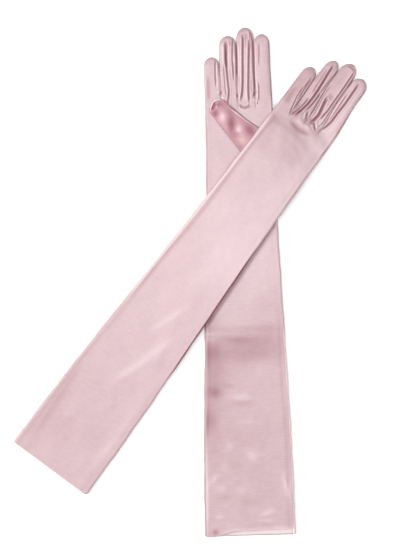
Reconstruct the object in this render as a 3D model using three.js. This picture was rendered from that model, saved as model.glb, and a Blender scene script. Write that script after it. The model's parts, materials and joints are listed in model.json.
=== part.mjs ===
// A pair of opera-length gloves in stretch satin, laid flat. The right glove lies palm up with its thumb
// folded over the palm. The left glove lies back up across it, with its own thumb folded underneath.
// Each glove is sewn from a palm side and a back side, joined along two side seams. Every finger has a
// front, a back and a strip down each side. The thumb is a separate piece set into a gusset, and the arm
// opening is hemmed. Millimetres, +Z up, +Y towards the right glove's fingertips.
import * as THREE from "three";

// ---- Cloth ----
const FABRIC = 0.8; // one layer of stretch satin
const HEM_FABRIC = 1.2; // a turned hem, two layers pressed together
const GAP = 0.3; // clearance between pieces that touch

// ---- One glove, measured from the arm opening (along) and from its centre line (across) ----
const REACH = 473; // arm opening to finger crotches
const OPENING_WIDTH = 99.5;
const PALM_WIDTH = 74;
const OPENING_HEIGHT = 7; // the sleeve stands open this much near its mouth
const HAND_HEIGHT = 4.8; // and lies this flat over the wrist and the hand
const OPEN_UNTIL = 150; // along the sleeve: full height up to here
const FLAT_FROM = 205; // and flat from here on
const HEM_DEPTH = 18;
const SEAM_WIDTH = 2.6; // rolled side seam with its seam allowance
const SEAM_ROUNDING = 1.2;

// ---- Fingers: centre across the hand, width, crotch to tip, and where the finger starts to bend ----
const FINGERS = [
  { name: "little", centre: -28, width: 17, length: 52, bend: 6 },
  { name: "ring", centre: -10, width: 18.6, length: 76, bend: 6 },
  { name: "middle", centre: 9, width: 18.6, length: 84, bend: 4 },
  { name: "index", centre: 27.8, width: 18.4, length: 76, bend: 4 },
];
const FINGER_CLEARANCE = 0.8; // between neighbouring fingers
const SIDE_STRIP = 0.9; // thickness of a finger's side strip
const NAMES_OF_STRIPS = {
  little: ["side_seam", "fourchette_to_ring"],
  ring: ["fourchette_to_little", "fourchette_to_middle"],
  middle: ["fourchette_to_ring", "fourchette_to_index"],
  index: ["fourchette_to_middle", "side_seam"],
};

// ---- Thumb: a tapered flat tube from the gusset to a round tip ----
const THUMB = {
  height: 3.4,
  creaseHalfWidth: 15.6,
  tipRadius: 8.4,
  length: 44.5, // crease to the centre of the round tip
  gussetFrom: 372, // the gusset's base runs along the palm's inner edge
  gussetTo: 436,
  gussetInset: 1,
};

// ---- Where each glove lies: centre of its arm opening, and its turn from +Y, anticlockwise ----
const RIGHT = {
  side: "right",
  at: [65, -278.2],
  turn: 1.57,
  leans: { little: 0, ring: 0, middle: 0, index: 0 },
  thumb: { along: 437, across: 9.2, angle: -43 },
};
const LEFT = {
  side: "left",
  at: [-155, -204.1],
  turn: -36.5,
  leans: { little: 1, ring: 1, middle: 1, index: 0.6 },
  thumb: { along: 433.2, across: 10.2, angle: -50 },
};

// ---- Small helpers ----
const radians = (degrees) => (degrees * Math.PI) / 180;
const mix = (a, b, share) => a + (b - a) * share;
const smooth = (x) => {
  const t = Math.min(1, Math.max(0, x));
  return t * t * (3 - 2 * t);
};
const range = (count) => Array.from({ length: count }, (_, i) => i);

// Width and height of a glove's flat tube at a distance along it.
const widthAt = (along) =>
  mix(PALM_WIDTH, OPENING_WIDTH, smooth(1 - along / REACH));
const heightAt = (along) =>
  mix(OPENING_HEIGHT, HAND_HEIGHT, smooth((along - OPEN_UNTIL) / (FLAT_FROM - OPEN_UNTIL)));

// A point given along and across a glove, on the surface that both lie on, and the way back.
function placed(glove, along, across) {
  const c = Math.cos(radians(glove.turn));
  const s = Math.sin(radians(glove.turn));
  return [glove.at[0] + across * c - along * s, glove.at[1] + across * s + along * c];
}
function measured(glove, x, y) {
  const c = Math.cos(radians(glove.turn));
  const s = Math.sin(radians(glove.turn));
  const [dx, dy] = [x - glove.at[0], y - glove.at[1]];
  return { along: -dx * s + dy * c, across: dx * c + dy * s };
}

// Distance from a point to a round-ended tapered bar, negative inside it. All in along, across.
function toBar(point, from, to, fromRadius, toRadius) {
  const [dx, dy] = [to[0] - from[0], to[1] - from[1]];
  const share = Math.min(1, Math.max(0,
    ((point.along - from[0]) * dx + (point.across - from[1]) * dy) / (dx * dx + dy * dy)));
  return Math.hypot(point.along - from[0] - share * dx, point.across - from[1] - share * dy) -
    mix(fromRadius, toRadius, share);
}

// ---- How the left glove drapes: the height of its underside over whatever it lies on ----
const OVER_GLOVE = { height: HAND_HEIGHT + 0.5, margin: 9, fall: 36 };
const OVER_THUMB = { height: HAND_HEIGHT + THUMB.height + 1.1, margin: 7, fall: 26 };
const OVER_OWN_THUMB = { height: THUMB.height + 0.5, margin: 6, fall: 24 };
const HILL_SHARPNESS = 6; // how closely overlapping hills follow the higher one

const hill = (over, distance) =>
  over.height * (1 - smooth((distance - over.margin) / over.fall));

function thumbBar(glove, distanceFrom) {
  const { along, across, angle } = glove.thumb;
  const [c, s] = [Math.cos(radians(angle)), Math.sin(radians(angle))];
  const base = [(THUMB.gussetFrom + THUMB.gussetTo) / 2, PALM_WIDTH / 2 - 8];
  const tip = [along + c * THUMB.length, across + s * THUMB.length];
  const gusset = toBar(distanceFrom, [along, across], base, THUMB.creaseHalfWidth, 26);
  const free = toBar(distanceFrom, [along, across], tip, THUMB.creaseHalfWidth, THUMB.tipRadius);
  return { gusset, free };
}

function drape(glove, along, across) {
  if (glove === RIGHT) return 0;
  const [x, y] = placed(glove, along, across);
  const under = measured(RIGHT, x, y);
  const overGlove = hill(OVER_GLOVE, Math.abs(under.across) - widthAt(under.along) / 2);
  const overThumb = hill(OVER_THUMB, thumbBar(RIGHT, under).gusset);
  const own = thumbBar(glove, { along, across });
  const overOwnThumb = hill(OVER_OWN_THUMB, Math.min(own.gusset, own.free));
  return Math.hypot(overGlove ** (HILL_SHARPNESS / 2), overThumb ** (HILL_SHARPNESS / 2),
    overOwnThumb ** (HILL_SHARPNESS / 2)) ** (2 / HILL_SHARPNESS);
}

// ---- Solids ----
// A closed solid between two sheets given on one grid: rows of points {x, y, low, high}.
function betweenSheets(rows) {
  const across = rows[0].length;
  const sheet = rows.length * across;
  const position = [
    ...rows.flat().flatMap((p) => [p.x, p.y, p.high]),
    ...rows.flat().flatMap((p) => [p.x, p.y, p.low]),
  ];
  const index = [];
  const quad = (a, b, c, d) => index.push(a, b, c, a, c, d);
  const at = (row, column, below = 0) => row * across + column + below * sheet;
  for (let r = 0; r + 1 < rows.length; r++)
    for (let c = 0; c + 1 < across; c++) {
      quad(at(r, c), at(r, c + 1), at(r + 1, c + 1), at(r + 1, c));
      quad(at(r, c, 1), at(r + 1, c, 1), at(r + 1, c + 1, 1), at(r, c + 1, 1));
    }
  for (let r = 0; r + 1 < rows.length; r++) {
    quad(at(r, 0), at(r + 1, 0), at(r + 1, 0, 1), at(r, 0, 1));
    quad(at(r + 1, across - 1), at(r, across - 1), at(r, across - 1, 1), at(r + 1, across - 1, 1));
  }
  for (let c = 0; c + 1 < across; c++) {
    quad(at(0, c + 1), at(0, c), at(0, c, 1), at(0, c + 1, 1));
    quad(at(rows.length - 1, c), at(rows.length - 1, c + 1),
      at(rows.length - 1, c + 1, 1), at(rows.length - 1, c, 1));
  }
  const geometry = new THREE.BufferGeometry();
  geometry.setAttribute("position", new THREE.Float32BufferAttribute(position, 3));
  geometry.setIndex(index);
  geometry.computeVertexNormals();
  return geometry;
}

// A flat plate of an outline, given as [x, y] points anticlockwise, between two heights.
function plate(outline, low, high) {
  const shape = new THREE.Shape(outline.map(([x, y]) => new THREE.Vector2(x, y)));
  const geometry = new THREE.ExtrudeGeometry(shape, { depth: high - low, bevelEnabled: false });
  return geometry.translate(0, 0, low);
}

const satin = (name, colour, roughness = 0.42) =>
  new THREE.MeshStandardMaterial({ name, color: colour, roughness, metalness: 0 });
const SHELL = satin("satin_shell", 0xdfc1c5);
const STRIP = satin("satin_strips", 0xd6b2b8);
const THUMB_CLOTH = satin("satin_thumb", 0xd2abb2);
const SEAM = satin("seams", 0xcba4ab, 0.6);
const HEM = satin("hem", 0xe6cdd0, 0.5);

function mesh(name, geometry, material) {
  const made = new THREE.Mesh(geometry, material);
  made.name = name;
  return made;
}

// ---- Hand and sleeve ----
const FEW_ROWS = [40, 80, 120, OPEN_UNTIL, 165, 178, 190, FLAT_FROM, 260, 320, 380, 430];
const CROTCH_ROW = REACH - 10;

// Distances along a glove at which its panels have a row of points.
function rowsOf(glove) {
  if (glove === RIGHT) return [...FEW_ROWS, CROTCH_ROW];
  const close = range(24).map((i) => mix(OPEN_UNTIL, CROTCH_ROW - 8, i / 23));
  return [60, 105, ...close, CROTCH_ROW];
}

// Where a panel's columns end across the palm: the outer edges, the middle of each finger,
// and a narrow notch at each crotch.
function knuckleColumns(halfWidth) {
  const ends = FINGERS.flatMap((finger, i) => {
    const last = i === FINGERS.length - 1;
    const half = finger.width / 2 - FINGER_CLEARANCE / 2;
    const low = i === 0 ? -halfWidth : finger.centre - half;
    const high = last ? halfWidth : finger.centre + half;
    const end = REACH + finger.bend - GAP;
    const own = [low, (low + high) / 2, high].map((across) => ({ across, end, finger }));
    if (last) return own;
    const next = FINGERS[i + 1];
    const crotch = (high + next.centre - next.width / 2 + FINGER_CLEARANCE / 2) / 2;
    return [...own, { across: crotch, end: REACH, finger: null }];
  });
  return ends;
}

// Height of the underside of a finger's base, level across the finger.
const baseHeight = (glove, finger) => drape(glove, REACH + finger.bend, finger.centre);

// One layer of a glove from the hem to the knuckles. layer(along) gives its low and high side.
function panel(glove, layer) {
  const inset = SEAM_WIDTH + GAP;
  const ends = knuckleColumns(PALM_WIDTH / 2 - inset);
  const rows = [HEM_DEPTH + GAP, ...rowsOf(glove)].map((along) => {
    const half = widthAt(along) / 2 - inset;
    const settled = smooth((along - REACH + 45) / 35);
    return ends.map((end, c) => {
      const even = mix(-half, half, c / (ends.length - 1));
      const across = mix(even, end.across * half / (PALM_WIDTH / 2 - inset), settled);
      const lift = drape(glove, along, across);
      return { x: across, y: along, low: lift + layer(along)[0], high: lift + layer(along)[1] };
    });
  });
  rows.push(ends.map(({ across, end, finger }) => {
    const lift = finger ? baseHeight(glove, finger) : drape(glove, end, across);
    return { x: across, y: end, low: lift + layer(end)[0], high: lift + layer(end)[1] };
  }));
  return betweenSheets(rows);
}

// The rolled side seam along one edge, from the arm opening to the knuckles; side is -1 or 1.
function sideSeam(glove, side) {
  const outer = side < 0 ? FINGERS[0] : FINGERS[FINGERS.length - 1];
  const end = REACH + outer.bend - GAP;
  const rows = [0, HEM_DEPTH, ...rowsOf(glove), end].map((along) => {
    const half = widthAt(Math.min(along, REACH)) / 2;
    const lift = along === end ? baseHeight(glove, outer) : drape(glove, along, side * half);
    const height = heightAt(along);
    const section = [
      [half - SEAM_WIDTH, 0, height],
      [half - SEAM_ROUNDING, 0, height],
      [half, height * 0.3, height * 0.7],
    ];
    const points = section.map(([across, low, high]) => (
      { x: side * across, y: along, low: lift + low, high: lift + high }));
    return side < 0 ? points.reverse() : points;
  });
  return betweenSheets(rows);
}

// One layer of the turned hem, a double strip across the arm opening.
function hem(glove, low, high) {
  const rows = [0, HEM_DEPTH].map((along) => {
    const half = widthAt(along) / 2 - SEAM_WIDTH - GAP;
    return range(5).map((c) => {
      const across = mix(-half, half, c / 4);
      const lift = drape(glove, along, across);
      return { x: across, y: along, low: lift + low, high: lift + high };
    });
  });
  return betweenSheets(rows);
}

// ---- Fingers, each modelled from its bend along +Y ----
const TIP_STEPS = 5;

// Right half of a finger's outline from base to tip, inset from its edge: [x, y] points.
function halfOutline(finger, inset) {
  const half = (finger.width - FINGER_CLEARANCE) / 2;
  const length = finger.length - finger.bend;
  const start = length - half * 1.25;
  return [
    [half - inset, GAP],
    ...range(TIP_STEPS + 1).map((i) => {
      const turn = (i / TIP_STEPS) * (Math.PI / 2);
      return [(half - inset) * Math.cos(turn), start + (half * 1.25 - inset) * Math.sin(turn)];
    }),
  ];
}
const mirrored = (points) => points.map(([x, y]) => [-x, y]);

function fingerPlate(finger, low, high) {
  const right = halfOutline(finger, 0);
  return plate([...right, ...mirrored(right.slice(0, -1)).reverse()], low, high);
}

// The strip down one side of a finger and half round its tip, standing between front and back.
function fingerStrip(finger, side) {
  const clearOfMiddle = ([x, y]) => [Math.max(x, GAP / 2), y];
  const outer = halfOutline(finger, 0.2).map(clearOfMiddle);
  const inner = halfOutline(finger, 0.2 + SIDE_STRIP).map(clearOfMiddle);
  const band = [...outer, ...inner.reverse()];
  const outline = side > 0 ? band : mirrored(band).reverse();
  return plate(outline, FABRIC + GAP, HAND_HEIGHT - FABRIC - GAP);
}

function fingerGroup(glove, finger, faces) {
  const lift = baseHeight(glove, finger);
  const group = new THREE.Group();
  group.name = `${glove.side}_${finger.name}`;
  // The hinge is on the top face, where the cloth creases when the finger folds up.
  group.position.set(finger.centre, REACH + finger.bend, lift + HAND_HEIGHT);
  const droop = Math.atan(Math.max(0, lift - 0.2) / (finger.length - finger.bend));
  group.rotation.set(-droop, 0, radians(glove.leans[finger.name]), "ZXY");
  const prefix = `${glove.side}_${finger.name}`;
  const [lowerStrip, upperStrip] = NAMES_OF_STRIPS[finger.name];
  const pieces = [
    mesh(`${prefix}_${faces.lower}`, fingerPlate(finger, 0, FABRIC), SHELL),
    mesh(`${prefix}_${faces.upper}`, fingerPlate(finger, HAND_HEIGHT - FABRIC, HAND_HEIGHT), SHELL),
    mesh(`${prefix}_${lowerStrip}`, fingerStrip(finger, -1), STRIP),
    mesh(`${prefix}_${upperStrip}`, fingerStrip(finger, 1), STRIP),
  ];
  for (const piece of pieces) piece.geometry.translate(0, 0, -HAND_HEIGHT);
  return group.add(...pieces);
}

// ---- Thumb, modelled from its crease along +Y ----
function thumbHalfOutline(inset) {
  const { creaseHalfWidth, tipRadius, length } = THUMB;
  // The straight edge meets the round tip where the tip's circle touches it.
  const tangent = Math.asin((creaseHalfWidth - tipRadius) / Math.hypot(length, creaseHalfWidth - tipRadius));
  return [
    [creaseHalfWidth - inset, GAP],
    ...range(TIP_STEPS + 1).map((i) => {
      const turn = mix(tangent, Math.PI / 2, i / TIP_STEPS);
      return [(tipRadius - inset) * Math.cos(turn), length + (tipRadius - inset) * Math.sin(turn)];
    }),
  ];
}

function thumbStrip(side) {
  const clearOfMiddle = ([x, y]) => [Math.max(x, GAP / 2), y];
  const outer = thumbHalfOutline(0.2).map(clearOfMiddle);
  const inner = thumbHalfOutline(0.2 + SIDE_STRIP).map(clearOfMiddle);
  const band = [...outer, ...inner.reverse()];
  const outline = side > 0 ? band : mirrored(band).reverse();
  return plate(outline, FABRIC + GAP, THUMB.height - FABRIC - GAP);
}

// Height of the thumb's underside: on the right palm, or on the table under the left one.
const thumbRest = (glove) => (glove === RIGHT ? HAND_HEIGHT + GAP : 0);

function thumbGroup(glove) {
  const { along, across, angle } = glove.thumb;
  const group = new THREE.Group();
  group.name = `${glove.side}_thumb`;
  // The right thumb folds up about its top face, the left one drops about its underside.
  const hinge = glove === RIGHT ? THUMB.height : 0;
  group.position.set(across, along, thumbRest(glove) + hinge);
  group.rotation.z = radians(-angle);
  const right = thumbHalfOutline(0);
  const outline = [...right, ...mirrored(right.slice(0, -1)).reverse()];
  const pieces = [
    mesh(`${glove.side}_thumb_lower`, plate(outline, 0, FABRIC), THUMB_CLOTH),
    mesh(`${glove.side}_thumb_upper`, plate(outline, THUMB.height - FABRIC, THUMB.height), THUMB_CLOTH),
    mesh(`${glove.side}_thumb_seam`, thumbStrip(-1), SEAM),
    mesh(`${glove.side}_thumb_fold`, thumbStrip(1), THUMB_CLOTH),
  ];
  for (const piece of pieces) piece.geometry.translate(0, 0, -hinge);
  return group.add(...pieces);
}

// One layer of the gusset, from the palm's inner edge to the thumb's crease.
function gusset(glove, low, high) {
  const { along, across, angle } = glove.thumb;
  const [c, s] = [Math.cos(radians(angle)), Math.sin(radians(angle))];
  const crease = (offset) => [
    across + offset * c - GAP * s,
    along - offset * s - GAP * c,
  ];
  const edge = PALM_WIDTH / 2 - THUMB.gussetInset;
  const outline = [
    crease(-THUMB.creaseHalfWidth),
    [edge, THUMB.gussetFrom],
    [edge, THUMB.gussetTo],
    crease(THUMB.creaseHalfWidth),
  ];
  return plate(outline, thumbRest(glove) + low, thumbRest(glove) + high);
}

// ---- A whole glove ----
function gloveGroup(glove) {
  const faces = glove === RIGHT
    ? { lower: "back", upper: "front", lowerPanel: "back_panel", upperPanel: "palm_panel" }
    : { lower: "front", upper: "back", lowerPanel: "palm_panel", upperPanel: "back_panel" };
  const lowerLayer = () => [0, FABRIC];
  const upperLayer = (along) => [heightAt(along) - FABRIC, heightAt(along)];
  const group = new THREE.Group();
  group.name = `${glove.side}_glove`;
  group.position.set(glove.at[0], glove.at[1], 0);
  group.rotation.z = radians(glove.turn);
  const name = (piece) => `${glove.side}_${piece}`;
  group.add(
    mesh(name(faces.lowerPanel), panel(glove, lowerLayer), SHELL),
    mesh(name(faces.upperPanel), panel(glove, upperLayer), SHELL),
    mesh(name("outer_side_seam"), sideSeam(glove, -1), SEAM),
    mesh(name("inner_side_seam"), sideSeam(glove, 1), SEAM),
    mesh(name("hem_lower"), hem(glove, 0, HEM_FABRIC), HEM),
    mesh(name("hem_upper"), hem(glove, OPENING_HEIGHT - HEM_FABRIC, OPENING_HEIGHT), HEM),
    mesh(name("gusset_lower"), gusset(glove, 0, FABRIC), THUMB_CLOTH),
    mesh(name("gusset_upper"), gusset(glove, THUMB.height - FABRIC, THUMB.height), THUMB_CLOTH),
    thumbGroup(glove),
    ...FINGERS.map((finger) => fingerGroup(glove, finger, faces)),
  );
  return group;
}

// ---- The pair, with its origin under the centre of its box ----
const pair = new THREE.Group();
pair.name = "opera_gloves";
pair.add(gloveGroup(RIGHT), gloveGroup(LEFT));
pair.updateMatrixWorld(true);
const box = new THREE.Box3().setFromObject(pair, true);
const centre = box.getCenter(new THREE.Vector3());
pair.position.set(-centre.x, -centre.y, -box.min.z);

export default pair;
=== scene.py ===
import json
import math

import bpy
import numpy as np
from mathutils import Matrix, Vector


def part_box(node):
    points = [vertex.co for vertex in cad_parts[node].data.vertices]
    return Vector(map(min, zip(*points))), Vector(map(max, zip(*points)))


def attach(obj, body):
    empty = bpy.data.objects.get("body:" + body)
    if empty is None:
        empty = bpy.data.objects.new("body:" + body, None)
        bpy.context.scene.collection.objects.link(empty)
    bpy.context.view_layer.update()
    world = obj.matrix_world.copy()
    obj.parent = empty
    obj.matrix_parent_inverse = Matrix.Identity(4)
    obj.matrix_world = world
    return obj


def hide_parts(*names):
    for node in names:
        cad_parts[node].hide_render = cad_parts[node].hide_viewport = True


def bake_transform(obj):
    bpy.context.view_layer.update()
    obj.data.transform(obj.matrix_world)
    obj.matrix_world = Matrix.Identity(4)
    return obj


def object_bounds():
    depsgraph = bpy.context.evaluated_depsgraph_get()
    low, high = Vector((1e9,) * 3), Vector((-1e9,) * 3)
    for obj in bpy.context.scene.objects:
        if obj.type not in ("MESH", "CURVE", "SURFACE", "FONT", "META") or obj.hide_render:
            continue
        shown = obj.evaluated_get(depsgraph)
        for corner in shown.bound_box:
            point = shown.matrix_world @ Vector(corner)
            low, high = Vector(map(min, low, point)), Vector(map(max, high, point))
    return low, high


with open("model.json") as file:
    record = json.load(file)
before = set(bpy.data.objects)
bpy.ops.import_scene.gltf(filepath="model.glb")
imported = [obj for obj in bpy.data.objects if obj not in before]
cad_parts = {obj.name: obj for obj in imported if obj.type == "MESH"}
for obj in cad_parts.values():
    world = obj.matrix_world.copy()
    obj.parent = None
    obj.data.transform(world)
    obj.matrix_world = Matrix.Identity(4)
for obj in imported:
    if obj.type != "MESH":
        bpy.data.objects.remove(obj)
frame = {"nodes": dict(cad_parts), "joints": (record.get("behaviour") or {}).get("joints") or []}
CAD_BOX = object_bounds()
JOINTS = {joint["name"]: joint for joint in frame["joints"]}
MM = 0.001

# %% [markdown]
# ## Where each glove lies
# Everything on a glove is easiest to say in the glove's own terms: how far along it from the arm opening,
# how far across it from the centre line, and how high. The hem node is a symmetric band across the opening,
# so the longest direction of its points is the direction across, found with a singular value decomposition.
# %% Frames of the two gloves
FINGERS = ("little", "ring", "middle", "index")
LAST_BEND = 5.7 * MM  # the hand panel reaches this far past the finger crotches
PALM_BAND = 8 * MM  # the palm's width is read off this last stretch of the panel
SEAM_ROOM = 2.9 * MM  # the side seam stands this far out from the panel's edge
THUMB_HINGES = {"right": ("right_thumb_lift", 1), "left": ("left_thumb_drop", -1)}


def node_points(name):
    """The different corner points of a CAD node, in metres."""
    mesh = frame["nodes"][name].data
    flat = np.empty(len(mesh.vertices) * 3)
    mesh.vertices.foreach_get("co", flat)
    return np.unique(flat.reshape(-1, 3).round(6), axis=0)


def hinge_facts(name, sign=1):
    """A hinge's point, its axis, and the level direction a quarter turn to the left of the axis."""
    axis = np.array(JOINTS[name]["axis"]) * sign
    return np.array(JOINTS[name]["pos_m"]), axis, np.array([-axis[1], axis[0], 0])


def find_glove(side):
    """A glove's origin at the middle of its opening, its along and across directions, and its reach."""
    hem = node_points(f"{side}_hem_lower")[:, :2]
    across = np.linalg.svd(hem - hem.mean(0), full_matrices=False)[2][0]
    across = across * np.sign(across @ np.array(JOINTS[f"{side}_middle_fold"]["axis"][:2]))
    along = np.array([-across[1], across[0]])
    rims = np.concatenate([node_points(f"{side}_{seam}_side_seam")[:, :2] for seam in ("outer", "inner")])
    start = (rims @ along).min()
    mouth = rims[rims @ along < start + 0.01 * MM] @ across
    panel = node_points(f"{side}_palm_panel")[:, :2]
    palm = panel[panel @ along > (panel @ along).max() - PALM_BAND] @ across
    return {
        "side": side,
        "along": along,
        "across": across,
        "origin": start * along + (mouth.max() + mouth.min()) / 2 * across,
        "mouth_half": (mouth.max() - mouth.min()) / 2,
        "palm_half": (palm.max() - palm.min()) / 2 + SEAM_ROOM,
        "reach": (panel @ along).max() - start - LAST_BEND,
    }


GLOVES = {side: find_glove(side) for side in ("right", "left")}
SLEEVE_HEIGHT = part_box("right_hem_upper")[1].z
HAND_HEIGHT = JOINTS["right_middle_fold"]["pos_m"][2]
THUMB_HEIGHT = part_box("left_thumb_upper")[1].z
for glove in GLOVES.values():
    print(glove["side"], "reach", round(glove["reach"], 4), "half widths", round(glove["mouth_half"], 4),
          round(glove["palm_half"], 4))


# %% Small maths helpers
def smooth(x):
    """0 below 0, 1 above 1, and the cubic 3x^2 - 2x^3 between."""
    x = np.clip(x, 0, 1)
    return x * x * (3 - 2 * x)


def mix(a, b, share):
    """a where share is 0, b where it is 1, and a straight mix between."""
    return a + (b - a) * share


def half_width(glove, along):
    """Half a glove's width: the palm's, growing to the arm opening's by a smooth step along the sleeve."""
    return mix(glove["palm_half"], glove["mouth_half"], smooth(1 - along / glove["reach"]))


def local(glove, xy):
    """Along and across of plan points."""
    rel = np.asarray(xy)[..., :2] - glove["origin"]
    return rel @ glove["along"], rel @ glove["across"]


def plan(glove, s, t):
    """The opposite: where a point along s and across t of a glove lies on the table."""
    return [glove["origin"][k] + s * glove["along"][k] + t * glove["across"][k] for k in (0, 1)]


for glove in GLOVES.values():
    print(glove["side"], "half width halfway, mm", (half_width(glove, glove["reach"] / 2) / MM).round(1))


# %% [markdown]
# ## How the left glove drapes
# The left glove is lifted by what lies under it: the right glove, that glove's folded thumb, and its own
# tucked thumb. Each lifts it as a hill with a flat top and a soft fall beside it. Where hills overlap, the
# sixth root of the sum of their sixth powers follows the higher one without a crease.
# %% Sizes of the hills
CREASE_HALF = 15.6 * MM  # half the thumb's width at its crease
TIP_RADIUS = 8.4 * MM
THUMB_LENGTH = 44.5 * MM
GUSSET = ((372 + 436) / 2 * MM, 29 * MM)  # the middle of the gusset's base, along and across
GUSSET_HALF = 26 * MM
THUMB_GAP = 0.3 * MM  # between the folded thumb and the palm
# Each hill: its height, how far out it stays full, and how wide its fall is.
OVER_GLOVE = (HAND_HEIGHT + 0.5 * MM, 9 * MM, 36 * MM)
OVER_THUMB = (HAND_HEIGHT + THUMB_HEIGHT + 1.1 * MM, 7 * MM, 26 * MM)
OVER_OWN_THUMB = (THUMB_HEIGHT + 0.5 * MM, 6 * MM, 24 * MM)


def find_thumb(glove):
    """The thumb's crease in a glove's terms, its direction from there, and the height it rests at."""
    pivot, _, heading = hinge_facts(*THUMB_HINGES[glove["side"]])
    return {
        "crease": np.array(local(glove, pivot)),
        "heading": np.array([heading[:2] @ glove["along"], heading[:2] @ glove["across"]]),
        "rest": HAND_HEIGHT + THUMB_GAP if glove["side"] == "right" else 0.0,
    }


for glove in GLOVES.values():
    glove["thumb"] = find_thumb(glove)
    print(glove["side"], "thumb's crease, mm", (glove["thumb"]["crease"] / MM).round(1))


# %% Hills under the cloth
def to_bar(s, t, start, end, start_radius, end_radius):
    """Distance from points to a round-ended bar that tapers from start to end, negative inside it."""
    d = end - start
    share = np.clip(((s - start[0]) * d[0] + (t - start[1]) * d[1]) / (d @ d), 0, 1)
    away = np.hypot(s - start[0] - share * d[0], t - start[1] - share * d[1])
    return away - mix(start_radius, end_radius, share)


def thumb_bars(glove, s, t):
    """Distances from points of a glove to its thumb's gusset and to its free thumb."""
    crease, heading = glove["thumb"]["crease"], glove["thumb"]["heading"]
    gusset = to_bar(s, t, crease, np.array(GUSSET), CREASE_HALF, GUSSET_HALF)
    free = to_bar(s, t, crease, crease + heading * THUMB_LENGTH, CREASE_HALF, TIP_RADIUS)
    return gusset, free


def hill(over, distance):
    """Full height out to the margin, then a smooth fall to nothing."""
    height, margin, fall = over
    return height * (1 - smooth((distance - margin) / fall))


def drape(glove, s, t):
    """Height of a glove's underside: nothing for the right one, the highest hill for the left one."""
    if glove["side"] == "right":
        return np.zeros(np.broadcast(s, t).shape)
    right = GLOVES["right"]
    rs, rt = local(right, np.stack(plan(glove, s, t), -1))
    over_glove = hill(OVER_GLOVE, np.abs(rt) - half_width(right, rs))
    over_thumb = hill(OVER_THUMB, thumb_bars(right, rs, rt)[0])
    over_own = hill(OVER_OWN_THUMB, np.minimum(*thumb_bars(glove, s, t)))
    return (over_glove**6 + over_thumb**6 + over_own**6) ** (1 / 6)


print("left glove's highest lift, mm", round(float(drape(GLOVES["left"], 0.42, 0.0)) / MM, 2))

# %% Room between the layers
BRIDGE = 34 * MM  # how far the upper cloth bridges over a hollow
LEAST_GAP = 1.7 * MM  # the sleeve is never thinner than this
SOFTNESS = 0.5 * MM  # how gradually it meets that limit
# The two steps by which the sleeve thins towards the hand: where each ends, its length and its share.
SLEEVE_STEPS = ((224 * MM, 30 * MM, 0.35), (195 * MM, 75 * MM, 0.65))


def sleeve_height(s):
    """Height of the upper cloth: low over the hand and wrist, rising in two soft steps to the opening."""
    risen = sum(smooth((end - s) / length) * share for end, length, share in SLEEVE_STEPS)
    return mix(HAND_HEIGHT, SLEEVE_HEIGHT - 0.5 * MM, risen)


def thickness(glove, s, t):
    """Room between lower and upper cloth. The lower cloth follows every hill. The upper one bridges the
    hollows, so it lies at the drape averaged over a disc, on three rings of eight points, and joins the
    fingers at the knuckles. A soft maximum, log(1 + e^x), keeps it over the least gap."""
    s, t = np.broadcast_arrays(s, t)
    flat = sleeve_height(s)
    if glove["side"] == "right":
        return flat
    under = drape(glove, s, t)
    total, count = under.copy(), 1
    for radius in (0.35, 0.7, 1.0):
        for turn in np.arange(8) * math.pi / 4 + radius:
            ds, dt = BRIDGE * radius * math.cos(turn), BRIDGE * radius * math.sin(turn)
            total, count = total + drape(glove, s + ds, t + dt), count + 1
    share = 1 - smooth((s - glove["reach"] + 26 * MM) / (24 * MM))
    room = flat + (total / count - under) * share
    return LEAST_GAP + np.logaddexp(0, (room - LEAST_GAP) / SOFTNESS) * SOFTNESS


def place(glove, s, t, z, lifted=True):
    """Points in metres from along, across and height; lifted adds the height the glove drapes over."""
    s, t, z = np.broadcast_arrays(s, t, z)
    up = z + drape(glove, s, t) if lifted else z
    return np.stack([*plan(glove, s, t), up], -1)


print("room in the sleeves, mm, at 0, 200 and 400 along:")
for glove in GLOVES.values():
    print(glove["side"], (thickness(glove, np.array([0.0, 0.2, 0.4]), 0.0) / MM).round(2))

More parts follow.
